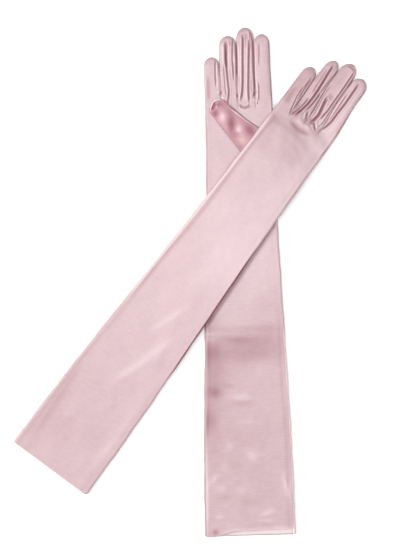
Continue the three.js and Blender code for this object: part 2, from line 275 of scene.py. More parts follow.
# %% [markdown]
# ## Folds, dents and seam lines
# Satin shows every small unevenness, because its sheen changes fast with the slope. The unevenness is one
# height field per glove, in millimetres: long grooves and ridges that follow lines, round dents and swells,
# and a gentle waviness from a few sine waves. All pieces of a glove read the same field, so a fold runs
# on without a step where the hand becomes a finger.
# %% Lines on the right glove
# Each line: its points (along, across), its half width, its height and its painted shading. All lengths in
# mm. A negative height is a groove. A positive shading is painted shade, in grooves and along dark edges and
# bands; a negative one is a painted highlight on ridges and pale edges.
RIGHT_LINES = [
    ([(525, -23), (518, -24.5), (505, -24.6), (493, -24.2)], 0.7, -0.9, 0.43),
    ([(522, -22.8), (505, -22.6), (490, -22.4)], 0.8, 0.35, -0.7),
    ([(523, -20.6), (510, -19.8), (500, -19.2), (489, -18.8)], 0.8, -0.6, 0.35),
    ([(488.5, -18.5), (484.5, -19.3)], 1.17, -1.3, 0.85),
    ([(485, -21.5), (483.5, -19.5), (486, -17.5)], 0.62, -0.5, 0.57),
    ([(483, -17.5), (480, -16.5), (478.8, -17.6)], 0.8, 0.4, -0.6),
    ([(544, -11.6), (536, -12.2), (525, -12.5), (512, -12.1)], 1.48, -1.6, 0.81),
    ([(536, -12.4), (520, -12.4), (508, -11.6), (498, -10.8), (488, -9.9), (480, -10.8),
      (474, -12)], 0.78, -1.3, 0.71),
    ([(520, -15.4), (505, -14.7), (490, -14), (480, -12.6)], 0.62, -0.6, 0.38),
    ([(543, -7.5), (537, -7.5)], 2.4, 0, 0.25),
    ([(548, -4), (538, -4.9), (525, -5.5), (512, -5), (500, -4.5)], 0.7, -1, 0.62),
    ([(530, -3.2), (512, -3), (500, -2.8)], 0.7, 0.3, -0.5),
    ([(541, -1.2), (532, -0.9), (520, -0.7), (510, -1.1), (502, -1.5)], 1.01, -1, 0.85),
    ([(503, -1.5), (486, -1.5)], 0.7, -0.6, 0.35),
    ([(485.5, -1), (480, -0.9)], 1.01, -1.4, 0.85),
    ([(550, 6.8), (540, 6.5), (525, 6), (510, 5.7), (495, 5.2), (484, 4.2), (476.5, 2.3)], 0.9, -1.7, 0.71),
    ([(552, 8), (548, 9.5), (544, 9)], 3, -0.5, 0.28),
    ([(545, 13.6), (530, 13), (520, 12.5), (508, 12.1), (495, 11.5), (484, 11.4),
      (474, 12.2)], 0.86, -1.5, 0.66),
    ([(554, 14.2), (545, 14.8), (532, 14.4)], 0.62, -0.8, 0.47),
    ([(540, 9.5), (520, 9.2), (500, 8.6), (476, 7.6)], 2, 0.35, -0.3),
    ([(473.4, 0.8), (470.4, 3.4), (469.4, 7.2), (470.4, 11.2), (473, 13.2)], 1.01, -1.2, 0.57),
    ([(555, 14.2), (549, 16.2), (540, 17.3), (528, 17.6), (512, 17.5), (498, 17.9),
      (486, 18.4)], 0.9, -1.2, 0.85),
    ([(487.5, 18.5), (481.5, 17.2)], 1.17, -1.5, 0.85),
    ([(542, 24.2), (528, 24.4), (514, 23.4)], 1.1, -0.5, 0.3),
    ([(498, 22.8), (486, 22.9), (479, 22.7), (475, 20.6)], 0.62, -0.9, 0.57),
    ([(475.2, 21.4), (474, 20.4)], 0.78, -0.9, 0.85),
    ([(479, 16.6), (477.3, 18), (477.6, 20)], 0.8, 0.4, -0.5),
    ([(476.8, 18.2), (476.2, 18.4)], 0.62, -0.7, 0.66),
    ([(506, -33), (494, -32.4), (478, -32.6)], 2, -0.5, 0.35),
    ([(471.5, -8.8), (463.5, -0.6), (455.5, 8.5), (447, 21)], 0.78, -0.5, 0.71),
    # A painted shade line along the right edge, on the side turned away from the light.
    ([(450, 36.3), (480, 36.2), (510, 35.9), (530, 35.3), (546, 33.8)], 0.7, 0, 0.5),
    # A shallow crease with a painted shadow where the left glove's edge lies across this one; the painted
    # shadow stays when that glove is lifted.
    ([(347.2, 40.6), (289, -0.6), (228, -44)], 2.0, -0.4, 0.4),
    # A painted highlight along the left edge of the sleeve.
    ([(-6, -47), (50, -46.4), (120, -45)], 3.0, 0, -0.4),
    ([(222, -44), (219, 0), (222, 42)], 6, 0.4, 0),
    ([(200, -41), (196, 0), (199, 42)], 7, -0.3, 0.1),
]
print("lines on the right glove", len(RIGHT_LINES))

# %% Lines on the left glove
LEFT_LINES = [
    ([(516, -22.8), (505, -22.8), (496, -22.4), (488, -21.2)], 1.4, -0.9, 0.52),
    ([(520, -21.4), (508, -20.4), (492, -19.6)], 0.62, -0.6, 0.57),
    ([(503, -25), (490, -24.4), (482, -22.8), (472, -20.6), (467.5, -18.8)], 0.7, -0.8, 0.57),
    ([(486, -18.6), (477, -17.4), (469, -17.2)], 2.2, -0.6, 0.35),
    ([(496, -13), (486, -13.6), (478, -14.8), (472, -16.6), (467.5, -18.6)], 0.7, -1.2, 0.81),
    ([(541, -12.6), (530, -12), (520, -11), (508, -10), (498, -9.5), (488, -10), (479, -11.6),
      (471, -14)], 0.98, -1.9, 0.9),
    ([(536, -15), (518, -14.7), (500, -13)], 0.8, -0.5, 0.35),
    ([(530, -8.6), (510, -7.6), (495, -7.6)], 1, 0.35, -0.3),
    ([(545, -5.4), (530, -5.4), (515, -5.9), (506, -6)], 0.7, -0.7, 0.47),
    ([(508, -6), (500, -5.7), (492, -5.8), (480, -7.4)], 0.86, -1.1, 0.71),
    ([(522, -2), (508, -1.8), (498, 0), (488, 1.4), (480, 2.4)], 0.62, -0.6, 0.38),
    ([(483, -5), (477.5, -3), (474, -1)], 1.01, -1.1, 0.76),
    ([(480, 2.6), (476.5, 1.8), (474, -0.6)], 0.62, -0.8, 0.62),
    ([(509, 2.8), (501, 4), (494, 5.5), (487, 6.8), (480, 6.2), (472.8, 3.6)], 1.25, -2, 0.9),
    ([(478.5, 6.4), (475.5, 9), (473, 11.4), (471, 14.2)], 0.94, -1.1, 0.81),
    ([(475.5, 8), (474.5, 5.6)], 1.25, -0.8, 0.57),
    ([(474.4, 13.4), (477.5, 10.5)], 0.8, 0.4, -0.5),
    ([(549, 10.4), (535, 11), (520, 11.6), (508, 11.6), (496, 12), (483, 11)], 0.78, -1.1, 0.76),
    ([(546, 13), (537, 14.4), (528, 14.6)], 0.86, -0.9, 0.76),
    ([(530, 14.8), (512, 14.6), (496, 15), (484, 15.8), (475, 14.4)], 0.62, -0.8, 0.47),
    ([(524, 17), (505, 17.2), (488, 17.8)], 0.8, 0.3, -0.4),
    ([(525, 18.4), (510, 18.8), (498, 19.6), (484, 20.5)], 0.55, -0.7, 0.47),
    ([(541, 21.8), (530, 22.3), (515, 22.9), (500, 22.5), (488, 22.4), (481, 20.8),
      (474, 18)], 0.94, -1.6, 0.85),
    ([(550, 0), (550.5, 5), (549, 9.6)], 1.25, -0.5, 0.47),
    # A painted shade line along the right edge, on the side turned away from the light.
    ([(450, 35.8), (480, 35.2), (500, 34.2), (520, 33.1), (538, 31.8)], 0.7, 0, 0.5),
    ([(514, 6), (508, 5)], 3, -0.5, 0.3),
    ([(463.5, -16), (462, -8), (461, -1), (462.5, 6), (464.5, 13)], 2.6, -0.8, 0.4),
    ([(468.5, -10), (468.5, 0), (468.5, 10)], 2.2, 0.35, -0.15),
    ([(500, -32), (488, -31), (474, -29)], 2.6, -0.5, 0.25),
    ([(200, 26), (172, 18), (150, 11), (112, -3)], 5, 0.42, -0.2),
    ([(236, 17), (210, 8), (180, -3)], 3.8, 0.35, -0.16),
    ([(140, -42), (80, -38), (40, -34.5), (2, -29)], 4.2, -0.4, 0.12),
    ([(458, 22), (430, 25), (400, 24)], 9, 0.2, 0),
    ([(452, -24), (430, -22), (405, -24)], 8, -0.35, 0.06),
]
print("lines on the left glove", len(LEFT_LINES))

# %% Swells
# Each swell: its centre (along, across), its radii along and across, its turn in degrees, its height in mm,
# and its painted shading: painted shade where positive, a painted highlight where negative.
RIGHT_SWELLS = [
    (110, 0, 110, 60, 0, 0, 0.1), (140, -40, 70, 16, 0, 0, 0.16), (214, 4, 10, 40, 0, -0.2, 0.2),
    (232, -38, 12, 8, 0, 0, 0.2), (178, -26, 14, 14, 0, 0, 0.12), (320, 0, 50, 50, 0, 0, -0.14),
    (203, 5, 15, 48, 0, 0, 0.22), (201, -37, 11, 11, 0, -0.4, 0.34), (215, -8, 3, 13, 5, -0.25, 0.16),
    (227, -5, 3, 36, 0, -0.2, 0.12), (168, -36, 18, 8, 0, 0, 0.12), (222, -40, 2, 8, 0, 0.2, -0.25),
    (216, -41, 2, 7, 0, 0.2, -0.2), (186, -30, 8, 12, 0, -0.2, 0.08), (158, -34, 6, 8, 0, -0.45, 0.34),
    (164, -18, 2.5, 9, 12, -0.25, 0.12), (151, -6, 4, 13, 8, 0.4, -0.2), (144.5, -4, 3, 12, -6, -0.35, 0.14),
    (126, -39, 14, 7, 0, -0.4, 0.22), (124, 2, 3, 10, 0, 0.2, -0.1), (120, 24, 14, 12, 30, 0.3, 0),
    (98, -20, 6, 5, -40, 0.3, -0.14), (86, 4, 8, 5, -40, 0.4, -0.2), (88, 14, 3, 6, 0, 0.2, -0.1),
    (74, -26, 8, 5, -40, 0.3, -0.1), (76, -12, 8, 8, -25, -0.3, 0.05), (62, -38, 8, 3.5, 35, 0.4, -0.22),
    (51, -30, 5, 7, 30, 0.3, -0.16), (48, -9, 5, 9, -10, 0.3, -0.1), (40, -26, 5, 12, -30, -0.35, 0.05),
    (50, 42, 15, 3.4, -14, 0.45, -0.28), (23.5, 20, 3, 8, -15, 0.35, -0.2), (15, 17, 2.5, 8, 0, 0.3, -0.14),
    (34, 2, 6, 14, 0, -0.35, 0.06), (104, -5, 10, 16, 0, -0.25, 0.04), (176, 20, 9, 18, 0, 0.25, 0.0),
    (250, 20, 14, 22, 0, 0.25, 0.06), (227, 27, 7, 16, 0, 0, 0.14), (4, -38, 3.5, 3.5, 0, -0.5, 0.5),
    (456, -14, 14, 16, 0, 0.2, 0), (20, -33, 3, 4, 0, 0.25, -0.12),
]
LEFT_SWELLS = [
    (60, -8, 90, 60, 0, 0, 0.07), (40, -38, 80, 14, 0, 0, 0.08), (370, 30, 80, 26, 0, 0, -0.12),
    (300, 0, 80, 60, 0, 0, -0.07), (70, 8, 26, 16, 10, 0.3, 0), (40, -12, 16, 12, 0, -0.3, 0.05),
    (110, -22, 22, 10, 0, 0.3, 0), (238, 24, 20, 8, -20, -0.3, 0.06), (262, -20, 22, 14, 0, 0.3, 0),
    (300, 12, 26, 14, 0, -0.25, -0.12), (340, -14, 20, 14, 0, 0.3, -0.1), (380, 10, 18, 16, 0, -0.25, 0),
    (446, 0, 12, 26, 0, 0.3, 0), (24, 26, 12, 12, 0, 0.25, 0), (440, 26, 14, 8, 0, 0.3, 0),
    (530, 2, 20, 6, 0, 0, 0.14), (505, -30, 22, 6, 0, 0, 0.14), (430, 10, 10, 16, 0, 0, 0.14),
    (452, -27, 12, 6, 0, 0, 0.16), (473, -13, 5, 2.5, 0, -0.2, 0.4), (462, 24, 12, 12, 0, 0, -0.2),
    (500, 27, 26, 5, 0, 0, -0.22), (440, 36, 36, 12, 0, 0, -0.34), (300, 38, 50, 8, 0, 0, -0.14),
    (168, 30, 26, 5, -14, -0.3, 0.06), (60, 38, 50, 5, 0, 0.1, -0.1), (60, -20, 14, 5, 0, 0.2, -0.06),
    (212, 18, 14, 3, -20, -0.2, 0.06),
]
print("swells", len(RIGHT_SWELLS), len(LEFT_SWELLS))


# %% Adding lines and swells
def line_profile(s, t, points, width):
    """Two profiles of the distance d to a bent line: exp(-(d/w)^2), the line itself, and a lower hump on
    either side of it, where cloth puffs up beside a stitched groove. Both fade out at both ends: over a
    quarter of the line's length, up to 8 mm, or over two fifths of it for a wide line."""
    best = np.full(np.broadcast(s, t).shape, np.inf)
    place_on = np.zeros_like(best)
    run = 0.0
    for (s0, t0), (s1, t1) in zip(points[:-1], points[1:]):
        ds, dt = s1 - s0, t1 - t0
        share = np.clip(((s - s0) * ds + (t - t0) * dt) / (ds * ds + dt * dt), 0, 1)
        away = np.hypot(s - s0 - share * ds, t - t0 - share * dt)
        place_on = np.where(away < best, run + share * math.hypot(ds, dt), place_on)
        best = np.minimum(best, away)
        run += math.hypot(ds, dt)
    fade = min(8.0, run / 4) if width < 2.5 else run / 2.5
    ends = smooth(0.15 + place_on / fade) * smooth(0.15 + (run - place_on) / fade)
    hump = np.exp(-(((best - 2.1 * width) / (0.85 * width)) ** 2)) if width < 1.7 else 0
    return np.exp(-((best / width) ** 2)) * ends, hump * ends


def add_lines(s, t, lines, height, deep, pale):
    """Adds every line's height, less a third of it in the humps, and its painted shading. The humps beside a
    line of painted shade get a painted highlight."""
    for points, width, rise, colour in lines:
        core, hump = line_profile(s, t, points, width)
        height = height + rise * (core - 0.3 * hump)
        deep, pale = np.maximum(deep, colour * core), np.minimum(pale, colour * core)
        if colour > 0.25:
            pale = np.minimum(pale, -0.4 * colour * hump)
    return height, deep, pale


def turned(s, t, swell):
    """exp(-(a/ra)^2 - (b/rb)^2) with a and b measured along a swell's own turned axes."""
    s0, t0, rs, rt, turn = swell[:5]
    c, n = math.cos(math.radians(turn)), math.sin(math.radians(turn))
    a, b = (s - s0) * c + (t - t0) * n, (t - t0) * c - (s - s0) * n
    return np.exp(-((a / rs) ** 2) - (b / rt) ** 2)


def add_swells(s, t, swells, height, deep, pale):
    """Adds every swell's height, and its painted shading to the painted shade or to the painted highlight side.
    """
    for swell in swells:
        shape = turned(s, t, swell)
        height = height + swell[5] * shape
        deep, pale = deep + max(swell[6], 0) * shape, pale + min(swell[6], 0) * shape
    return height, deep, pale


across_line = np.array([0.0, 1.0, 2.0, 4.0])
profile = line_profile(0.0, across_line, [(-30, 0), (30, 0)], 1)
print("a 1 mm line, at 0, 1, 2 and 4 mm off it", profile[0].round(2), "and its hump", profile[1].round(2))


# %% The whole relief
def waviness(s, t, seed, short, long, waves=18):
    """A sum of sine waves of random lengths and directions, each as high as it is long, scaled to about 1."""
    rng = np.random.default_rng(seed)
    total = np.zeros(np.broadcast(s, t).shape)
    for _ in range(waves):
        length, turn, shift = rng.uniform(short, long), rng.uniform(0, math.pi), rng.uniform(0, 2 * math.pi)
        wave = np.sin((s * np.cos(turn) + t * np.sin(turn)) * 2 * math.pi / length + shift)
        total = total + wave * length * 1.4 / long
    return total / math.sqrt(waves / 2)


def crossed(s):
    """1 along the stretch, in mm, where the left glove's outer side lies over the right glove."""
    return smooth((s - 190) / 40) * smooth((462 - s) / 12)


def side_dip(glove, s, t):
    """A soft shallow channel, exp(-(d/w)^2), where the seam allowance ends. It lies 5.6 mm inside each side
    edge, give or take a sine wave of 0.8 mm."""
    inside = half_width(glove, s * MM) / MM - np.abs(t)
    return np.exp(-(((inside - 5.6 - 0.8 * np.sin(s / 23)) / 2.4) ** 2))


def cloth_fields(glove, s, t):
    """Height in metres and painted shading of the upper cloth, at along s and across t in metres: two
    layers of waviness, the channel beside each side seam with painted shade in it, and every line and swell.
    Where the left glove crosses the right one (on_top), its outer edge gets a painted highlight."""
    s, t = np.broadcast_arrays(np.asarray(s) / MM, np.asarray(t) / MM)
    right = glove["side"] == "right"
    dip = side_dip(glove, s, t) * smooth((505 - s) / 20)
    dip = dip * (1 - (0.7 * smooth((s - 215) / 40) if right else 0.5 * (t > 0)))
    on_top = (not right) * (t < 0) * crossed(s)
    rim = np.exp(-(((half_width(glove, s * MM) / MM - np.abs(t) - 1.8) / 1.1) ** 2)) * on_top
    height = 0.1 * waviness(s, t, 3 if right else 8, 14, 70) + 0.035 * waviness(s, t, 21, 6, 16, 26)
    height = height - (0.22 if right else 0.1) * dip - 0.15 * dip * on_top
    # Painted shade in the channels beside the seams, more where the left glove lies over the right one, and a
    # painted highlight along that glove's outer edge.
    deep, pale = (0.1 + 0.14 * on_top) * dip, -0.5 * rim
    height, deep, pale = add_lines(s, t, RIGHT_LINES if right else LEFT_LINES, height, deep, pale)
    height, deep, pale = add_swells(s, t, RIGHT_SWELLS if right else LEFT_SWELLS, height, deep, pale)
    return height * MM, np.clip(deep + pale * (1 - deep), -1, 1)


relief = cloth_fields(GLOVES["right"], np.arange(0, 470, 10) * MM, 0)[0] / MM
print("relief down the right palm's middle, mm", relief.min().round(2), "to", relief.max().round(2))

# %% [markdown]
# ## From a grid of points to a mesh
# A surface is a table of rows and columns of points. Neighbouring rows and columns make four-sided faces.
# More goes with each point: its place on the flat cloth in millimetres, as a UV map, so that the knit runs
# with the glove, a mask that says where the cloth is ribbed, and its painted shading, from -1, a painted
# highlight, to 1, painted shade.
# %% Grid to mesh
def put(name, data):
    """A new object with this data, in the scene at the origin."""
    made = bpy.data.objects.new(name, data)
    bpy.context.scene.collection.objects.link(made)
    return made


def surface(name, points, uv, ribs=None, wrap=False, caps=(), painted_shading=None):
    """A mesh from points[row, column]. wrap joins the last column to the first; caps close the first or
    the last row with a fan of triangles round its middle. Columns then rows turn anticlockwise seen
    from outside."""
    rows, cols = points.shape[:2]
    flat = points.reshape(-1, 3)
    r, c = np.meshgrid(np.arange(rows - 1), np.arange(cols if wrap else cols - 1), indexing="ij")
    nxt = (c + 1) % cols
    faces = np.stack([r * cols + c, r * cols + nxt, (r + 1) * cols + nxt, (r + 1) * cols + c], -1)
    faces = faces.reshape(-1, 4).tolist()
    column = np.arange(cols)
    for cap in caps:
        row = 0 if cap == "first" else rows - 1
        flat = np.vstack([flat, points[row].mean(0)])
        a, b = row * cols + column, row * cols + (column + 1) % cols
        pair = (b, a) if cap == "first" else (a, b)
        faces += np.stack([*pair, np.full(cols, len(flat) - 1)], -1).tolist()
    mesh = bpy.data.meshes.new(name)
    mesh.from_pydata(flat.tolist(), [], faces)
    extra = len(flat) - rows * cols
    corner = np.empty(len(mesh.loops), np.int32)
    mesh.loops.foreach_get("vertex_index", corner)
    table = np.vstack([uv.reshape(-1, 2)] + [uv.reshape(-1, 2)[-1:]] * extra)
    mesh.uv_layers.new(name="cloth").data.foreach_set("uv", table[corner].astype(np.float32).ravel())
    for label, values in (("ribs", ribs), ("painted_shading", painted_shading)):
        mask = np.zeros(len(flat), np.float32)
        if values is not None:
            mask[: rows * cols] = values.reshape(-1)
        mesh.attributes.new(label, "FLOAT", "POINT").data.foreach_set("value", mask)
    mesh.shade_smooth()
    mesh.update()
    return put(name, mesh)


# %% [markdown]
# ## The cross-section of hand and sleeve
# Across the sleeve the upper cloth is flat with rounded edges. At the knuckles it becomes four round
# finger tops side by side. The columns of the grid slide from even spacing on the sleeve to spacing by
# finger at the knuckles, and the height slides from one shape to the other over the last part of the hand.
# %% Finger facts from the hinges
def find_finger(glove, name):
    """Where a finger starts and points, its size, and the slope at which it comes down to the table."""
    side = glove["side"]
    hinge, axis, heading = hinge_facts(f"{side}_{name}_fold")
    lower = node_points(f"{side}_{name}_{'back' if side == 'right' else 'front'}") - hinge
    x, y = lower @ axis, lower @ heading
    base, tip = lower[y < y.min() + MM], lower[y > y.max() - MM]
    s, t = local(glove, hinge[:2])
    return {
        "name": name,
        "centre": float(t),
        "bend": float(s - glove["reach"]),
        "half": (x.max() - x.min()) / 2 + 0.1 * MM,
        "length": y.max() + float(s - glove["reach"]),
        "base_z": hinge[2] - HAND_HEIGHT,
        "slope": (tip[:, 2].min() - base[:, 2].min()) / (y.max() - y.min()),
    }


for glove in GLOVES.values():
    glove["fingers"] = [find_finger(glove, name) for name in FINGERS]
    print(glove["side"], [(f["name"], round(f["length"] / MM, 1)) for f in glove["fingers"]])

# %% Cross-sections
SEAM_LINE = 1.7 * MM  # height at which a finger's front and back meet
ROUNDNESS = 3.0  # 2 is an ellipse, more is squarer
WELT = 1.9 * MM  # half the width of the rolled side seam
CORNER = 1.6 * MM  # how wide the rounded edge of the flat cloth is
KNUCKLE_ZONE = 30 * MM  # the hand turns from flat cloth to finger tops over this stretch
VALLEY_ZONE = 7 * MM  # and the valleys start to open over this one
VALLEY_SHARE = {"right": 0.3, "left": 0.5}  # how deep the valleys between fingers are at the knuckles
EDGE_SHARE = 0.96  # how high the flat cloth stands where it meets the side seam


def dome(x):
    """A rounded top over x from -1 to 1: (1 - |x|^n)^(1/n)."""
    return np.clip(1 - np.abs(x) ** ROUNDNESS, 0, 1) ** (1 / ROUNDNESS)


def knuckle_section(glove, per_finger):
    """Across and height of the four finger tops side by side; columns crowd towards the crotches."""
    u = -np.cos(np.linspace(0, math.pi, per_finger + 1))
    edges = [-glove["palm_half"]]
    for low, high in zip(glove["fingers"][:-1], glove["fingers"][1:]):
        edges.append((low["centre"] + low["half"] + high["centre"] - high["half"]) / 2)
    edges.append(glove["palm_half"])
    t, z = [], []
    for i in range(4):
        keep = slice(0 if i == 0 else 1, None)
        t.append(mix(edges[i], edges[i + 1], (u + 1) / 2)[keep])
        z.append(dome(u)[keep])
    return np.concatenate(t), np.concatenate(z)


def flat_section(half, columns):
    """Across, and height as a share of the full one, of a flat cloth with elliptical edges, which take up
    the last five columns on either side."""
    q = np.linspace(-1, 1, columns)
    q1 = 1 - 10 / (columns - 1)
    turn = np.clip((np.abs(q) - q1) / (1 - q1), 0, 1) * math.pi / 2
    inner = np.clip(np.abs(q) / q1, 0, 1)
    t = np.sign(q) * (inner * (half[:, None] - CORNER) + CORNER * np.sin(turn))
    return t, np.cos(turn)[None, :]


print("right fingers' edges at the knuckles, mm", (knuckle_section(GLOVES["right"], 1)[0] / MM).round(1))

# %% [markdown]
# ## Hand and sleeve panels
# A glove's palm side and back side are two cuts of cloth, joined down both sides. Each is one surface from
# the arm opening to the knuckles. The upper one carries the folds, and the lower one lies flat. The upper
# layer of the right glove stops a little short of the lower one at the opening, so the inside of the lower
# hem shows as a paler strip.
# %% Panels
PER_FINGER = 54  # columns on the upper side of a finger
UNDER = 12  # and on its lower side
FINE_ZONE = 32 * MM  # rows lie closer over this last stretch
OPENING_SLIP = 7.0 * MM
SLIP_FADE = 60 * MM  # the rows slide along with the slanting opening over this first stretch
EDGE_FADE = 4 * MM  # folds grow from nothing over this width beside a seam
JOIN_ZONE = 12 * MM  # at the knuckles they run on into the fingers over this stretch
# The bands of ribbed cloth that show between the fingers, from and to across the glove in mm.
RIBBED = {"right": ((-20.5, -11.5), (13.8, 18.4)), "left": ((-21, -10.5), (-7.5, 0.5), (14.8, 20))}


def mouth_line(glove, t):
    """How far along the upper layer starts: level on the left glove, slanting on the right one, in one
    quick smooth step and one slow one."""
    if glove["side"] == "left":
        return np.zeros_like(t)
    across = t / glove["mouth_half"] + 0.85
    return OPENING_SLIP * (0.8 * smooth(across / 0.5) + 0.2 * smooth(across / 1.85))


def panel_grid(glove, upper, per_finger, step):
    """Along, across and height tables of a panel, before relief and drape: each row is a mix of the flat
    section and the knuckles' section."""
    reach = glove["reach"]
    fine = reach - FINE_ZONE
    s = np.unique(np.concatenate([np.arange(0, fine, step), np.linspace(fine, reach, 30)]))
    half = half_width(glove, s) - WELT
    near = smooth((s - reach + KNUCKLE_ZONE) / KNUCKLE_ZONE)[:, None]
    valley = VALLEY_SHARE[glove["side"]] * smooth((s - reach + VALLEY_ZONE) / VALLEY_ZONE)[:, None] ** 1.3
    t0, z0 = flat_section(half, per_finger * 4 + 1)
    t1, z1 = knuckle_section(glove, per_finger)
    t = mix(t0, t1[None, :], near)
    s = np.repeat(s[:, None], t.shape[1], 1)
    top = thickness(glove, s, t)
    middle = mix(top / 2, SEAM_LINE, near)
    z0 = mix(EDGE_SHARE + (1 - EDGE_SHARE) * z0, z0, near)
    share = mix(z0, z1[None, :], valley)
    return s, t, middle + share * (top - middle) if upper else middle * (1 - share)


def strips(glove, s, t):
    """1 on the ribbed side strips of the fingers, between a seam line and the next finger."""
    s, t = np.asarray(s) / MM, np.asarray(t) / MM
    mask = np.zeros(np.broadcast(s, t).shape)
    for low, high in RIBBED[glove["side"]]:
        mask = np.maximum(mask, smooth((t - low) / 0.8) * smooth((high - t) / 0.8))
    return mask * smooth((s - glove["reach"] / MM - 1) / 5) * smooth((glove["reach"] / MM + 66 - s) / 8)


def side_fade(t, half):
    """0 at a cloth's edge and 1 well inside it."""
    return smooth((half - np.abs(t)) / EDGE_FADE)


print("opening, mm", (mouth_line(GLOVES["right"], np.linspace(-0.05, 0.05, 5)) / MM).round(1))


# %% Making the panels
def make_upper(glove):
    """The upper panel: height of the section plus the cloth's relief. Its edge at the opening gets a painted
    highlight.
    """
    s, t, z = panel_grid(glove, True, PER_FINGER, 1.6 * MM)
    start = mouth_line(glove, t)
    s = s + start * (1 - smooth(s / SLIP_FADE))
    height, painted_shading = cloth_fields(glove, s, t)
    edge = smooth((s - glove["reach"] + JOIN_ZONE) / JOIN_ZONE)
    fade = mix(side_fade(t, half_width(glove, s) - WELT), 1, edge)
    z = z + height * fade
    z = np.maximum(z, 1.2 * MM)
    # A painted highlight along the upper layer's edge at the slanting opening.
    painted_shading = painted_shading - 0.22 * (start / OPENING_SLIP) * smooth((start + 4 * MM - s) / (4 * MM))
    uv = np.stack([t, s], -1) / MM
    name = f"{glove['side']}_{'palm' if glove['side'] == 'right' else 'back'}_cloth"
    return surface(name, place(glove, s, t, z), uv, strips(glove, s, t), painted_shading=painted_shading)


def make_lower(glove):
    """The lower panel: the same sections without relief, on a coarser grid, with its columns turned round
    so that it faces down."""
    s, t, z = panel_grid(glove, False, UNDER, 6 * MM)
    points = place(glove, s, t, z)[:, ::-1]
    uv = (np.stack([t, s], -1) / MM)[:, ::-1]
    name = f"{glove['side']}_{'back' if glove['side'] == 'right' else 'palm'}_cloth"
    return surface(name, points, uv)


for glove in GLOVES.values():
    glove["upper"] = make_upper(glove)
    glove["lower"] = make_lower(glove)
    print(glove["side"], "upper faces", len(glove["upper"].data.polygons))

# %% [markdown]
# ## The hems
# At the arm opening the cloth turns inwards and is stitched down. Seen from outside that is a rounded lip,
# and from the end it is a second layer inside the sleeve. Each hem is a surface that starts on the panel's
# edge, goes round the lip and runs back inside.
# %% Hems
HEM_DEPTH = 18 * MM
LIP = 0.55 * MM  # radius of the turned edge
PUCKER = 0.12 * MM  # the stitching draws the hem up by this much


def make_hem(glove, upper):
    """Rows go round the lip as a half circle, then straight inside for the hem's depth, where a sine wave
    puckers it. The lower hem's edge gets painted shade, and a painted highlight beside the upper layer's edge
    lightens the shadow that layer casts. The upper hem's lip gets a painted highlight that grows with the
    slant."""
    half = np.array([glove["mouth_half"] - WELT])
    top = sleeve_height(np.zeros(1))
    t, share = flat_section(half, PER_FINGER * 4 + 1 if upper else 49)
    t, z = t[0], (EDGE_SHARE + (1 - EDGE_SHARE) * share[0]) * top[0] / 2
    turn = np.linspace(0, math.pi, 9)
    inward = np.linspace(0, 1, 14)[1:] ** 1.2
    back = np.concatenate([-LIP * np.sin(turn), inward * HEM_DEPTH])[:, None]
    down = np.concatenate([LIP - LIP * np.cos(turn), np.full(13, 2 * LIP)])[:, None]
    down = down + PUCKER * np.sin(t[None, :] / MM * 0.9 + back / MM * 0.4) * (down > 1.9 * LIP)
    start = mouth_line(glove, t) if upper else np.zeros_like(t)
    s = start[None, :] + back
    height = np.maximum(z[None, :] - down, 0.05 * MM)
    inner = top[0] / 2 + height if upper else top[0] / 2 - height
    if upper:
        lift = cloth_fields(glove, start, t)[0] * side_fade(t, half[0])
        inner = inner + lift[None, :]
    t = np.repeat(t[None, :], len(back), 0)
    points, uv = place(glove, s, t, inner), np.stack([t, s], -1) / MM
    shown = mouth_line(glove, t) / OPENING_SLIP
    if upper:
        # A painted highlight on the upper hem's lip.
        painted_shading = -0.6 * shown
        points, uv, painted_shading = points[:, ::-1], uv[:, ::-1], painted_shading[:, ::-1]
    else:
        # Painted shade at the lower hem's edge, and a painted highlight just inside the upper layer's edge,
        # against the shadow that edge casts.
        inside = np.exp(-(((s - OPENING_SLIP * shown + 1.5 * MM) / (2.2 * MM)) ** 2))
        painted_shading = shown * (0.7 * smooth((0.9 * MM - s) / (0.9 * MM)) - 0.6 * inside)
    return surface(f"{glove['side']}_hem_{'upper' if upper else 'lower'}_cloth", points, uv, painted_shading=painted_shading)


for glove in GLOVES.values():
    glove["hems"] = {"upper": make_hem(glove, True), "lower": make_hem(glove, False)}
print("hems", 4)

# %% [markdown]
# ## The rolled side seams
# The two panels meet in a seam down each side, with its allowance rolled inside, so the edge of the glove
# is a slightly fuller cord of cloth, painted a little paler as a painted highlight. It is an oval carried
# along the edge. Every stitch pulls it in a little, which shows as a fine beading.
# %% Side seams
SEAM_POINTS = 14  # points round the seam
STITCH = 4.5 * MM
TAPER_TO = 0.45  # its width at the knuckles, as a share of the full one
TAPER_ZONE = 26 * MM


def seam_painted_shading(glove, side, s, off):
    """Painted shading of a seam at along s, off its middle towards the outside. The left glove's outer seam
    gets a painted highlight, more where it lies over the right one; its inner seam gets painted shade beside
    the fingers, and a painted shadow on its outward flank where it lies over the right glove. The right
    glove's outer seam gets painted shade, and its inner one a painted highlight, strongest over the first 220
    mm."""
    if glove["side"] == "right":
        return -0.5 * smooth((230 * MM - s) / (20 * MM)) * (side > 0) - 0.2 + 0.45 * (side < 0)
    if side < 0:
        return -0.28 * crossed(s / MM) - 0.1
    crossing = smooth((s - 150 * MM) / (30 * MM)) * smooth((335 * MM - s) / (30 * MM))
    return 0.35 * smooth((s - 445 * MM) / (20 * MM)) - 0.1 + crossing * smooth((off + 0.2 * MM) / (0.6 * MM))


